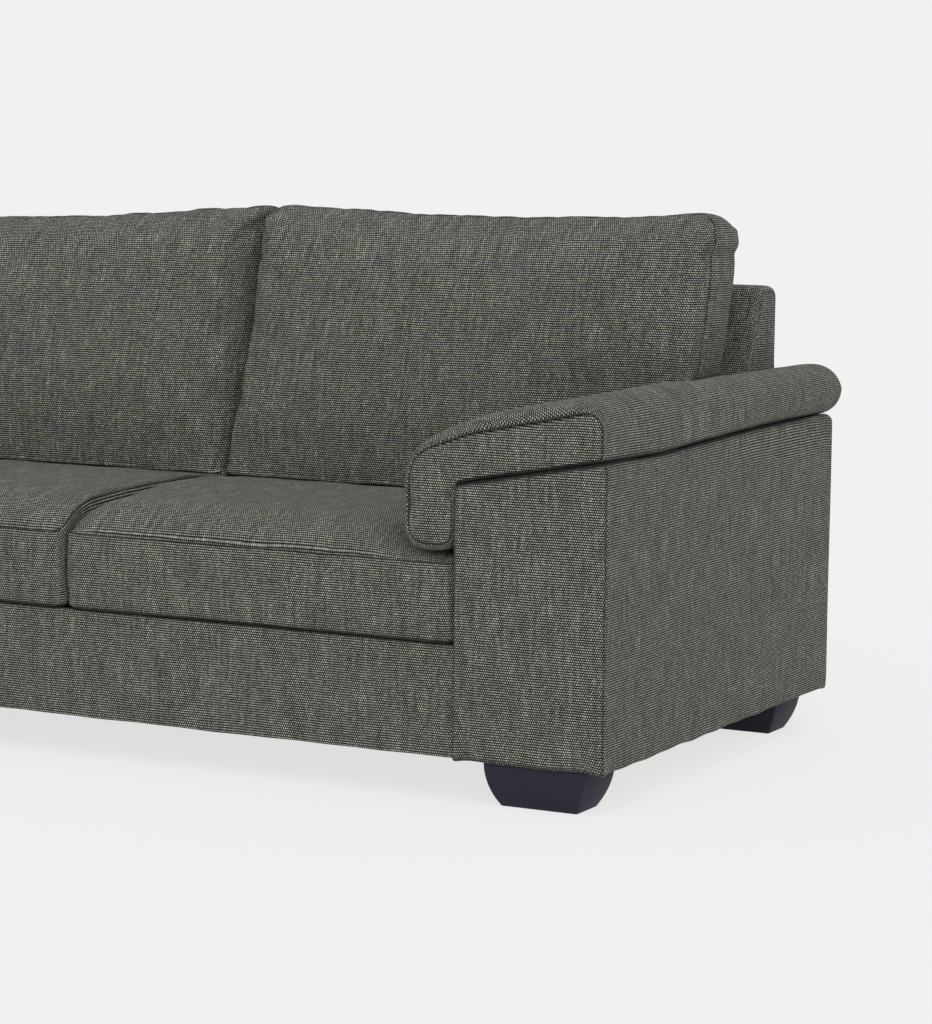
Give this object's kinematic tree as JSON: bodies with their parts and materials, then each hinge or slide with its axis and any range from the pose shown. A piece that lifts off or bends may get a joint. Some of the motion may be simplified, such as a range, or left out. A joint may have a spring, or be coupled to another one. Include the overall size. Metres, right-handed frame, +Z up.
{
  "type": "chaise sofa",
  "caption": "Upholstered sofa with a chaise at its left end, loose seat and back cushions, and padded arm tops that wrap over the inside of the arms",
  "frame": {"origin": "on the floor, in the middle of the whole sofa's width and depth", "axes": "+X along the sofa to the sitter's left, which is the right of someone who looks at the sofa's front; +Y from the front to the back; +Z up"},
  "size_m": [2.93, 1.5973, 0.9707],
  "materials": {
    "body_fabric": "matte",
    "cushion_fabric": "matte",
    "deck_cloth": "matte",
    "webbing": "matte",
    "foam": "matte",
    "timber": "matte",
    "foot_finish": "satin",
    "steel": "satin"
  },
  "bodies": {
    "sofa": {"sofa_front_rail": "timber", "sofa_seat_rear_rail": "timber", "sofa_rear_rail": "timber", "sofa_side_rails": "timber", "sofa_centre_rail": "timber", "sofa_seat_webbing": "webbing", "sofa_deck": "deck_cloth", "sofa_front_border": "body_fabric", "sofa_dust_cover": "deck_cloth", "sofa_feet": "foot_finish", "chaise_front_rail": "timber", "chaise_seat_rear_rail": "timber", "chaise_rear_rail": "timber", "chaise_side_rails": "timber", "chaise_cross_rail": "timber", "chaise_seat_webbing": "webbing", "chaise_deck": "deck_cloth", "chaise_border": "body_fabric", "chaise_dust_cover": "deck_cloth", "chaise_feet": "foot_finish", "foot_blocks": "timber", "foot_bolts": "steel", "unit_plates": "steel", "sofa_back_posts": "timber", "sofa_back_rails": "timber", "sofa_back_webbing": "webbing", "sofa_back_cover": "body_fabric", "sofa_outside_back": "body_fabric", "chaise_back_posts": "timber", "chaise_back_rails": "timber", "chaise_back_webbing": "webbing", "chaise_back_cover": "body_fabric", "chaise_outside_back": "body_fabric", "right_arm_base_board": "timber", "right_arm_front_board": "timber", "right_arm_rear_board": "timber", "right_arm_top_board": "timber", "right_arm_cover": "body_fabric", "right_arm_pad": "cushion_fabric", "left_arm_base_board": "timber", "left_arm_front_board": "timber", "left_arm_rear_board": "timber", "left_arm_top_board": "timber", "left_arm_cover": "body_fabric", "left_arm_pad": "cushion_fabric"},
    "right_seat": {"right_seat_cushion": "cushion_fabric", "right_seat_foam": "foam"},
    "middle_seat": {"middle_seat_cushion": "cushion_fabric", "middle_seat_foam": "foam"},
    "chaise_seat": {"chaise_seat_cushion": "cushion_fabric", "chaise_seat_foam": "foam"},
    "right_back": {"right_back_cushion": "cushion_fabric", "right_back_foam": "foam"},
    "middle_back": {"middle_back_cushion": "cushion_fabric", "middle_back_foam": "foam"},
    "chaise_back": {"chaise_back_cushion": "cushion_fabric", "chaise_back_foam": "foam"}
  },
  "joints": [
    {"name": "right_seat_slide", "type": "slide", "parent": "sofa", "child": "right_seat", "axis": [0, -1, 0], "range_m": [0, 0.8]},
    {"name": "middle_seat_slide", "type": "slide", "parent": "sofa", "child": "middle_seat", "axis": [0, -1, 0], "range_m": [0, 0.8]},
    {"name": "chaise_seat_slide", "type": "slide", "parent": "sofa", "child": "chaise_seat", "axis": [0, -1, 0], "range_m": [0, 1.4]},
    {"name": "right_back_lift", "type": "slide", "parent": "sofa", "child": "right_back", "axis": [0, 0, 1], "range_m": [0, 0.56]},
    {"name": "middle_back_lift", "type": "slide", "parent": "sofa", "child": "middle_back", "axis": [0, 0, 1], "range_m": [0, 0.56]},
    {"name": "chaise_back_lift", "type": "slide", "parent": "sofa", "child": "chaise_back", "axis": [0, 0, 1], "range_m": [0, 0.56]}
  ]
}
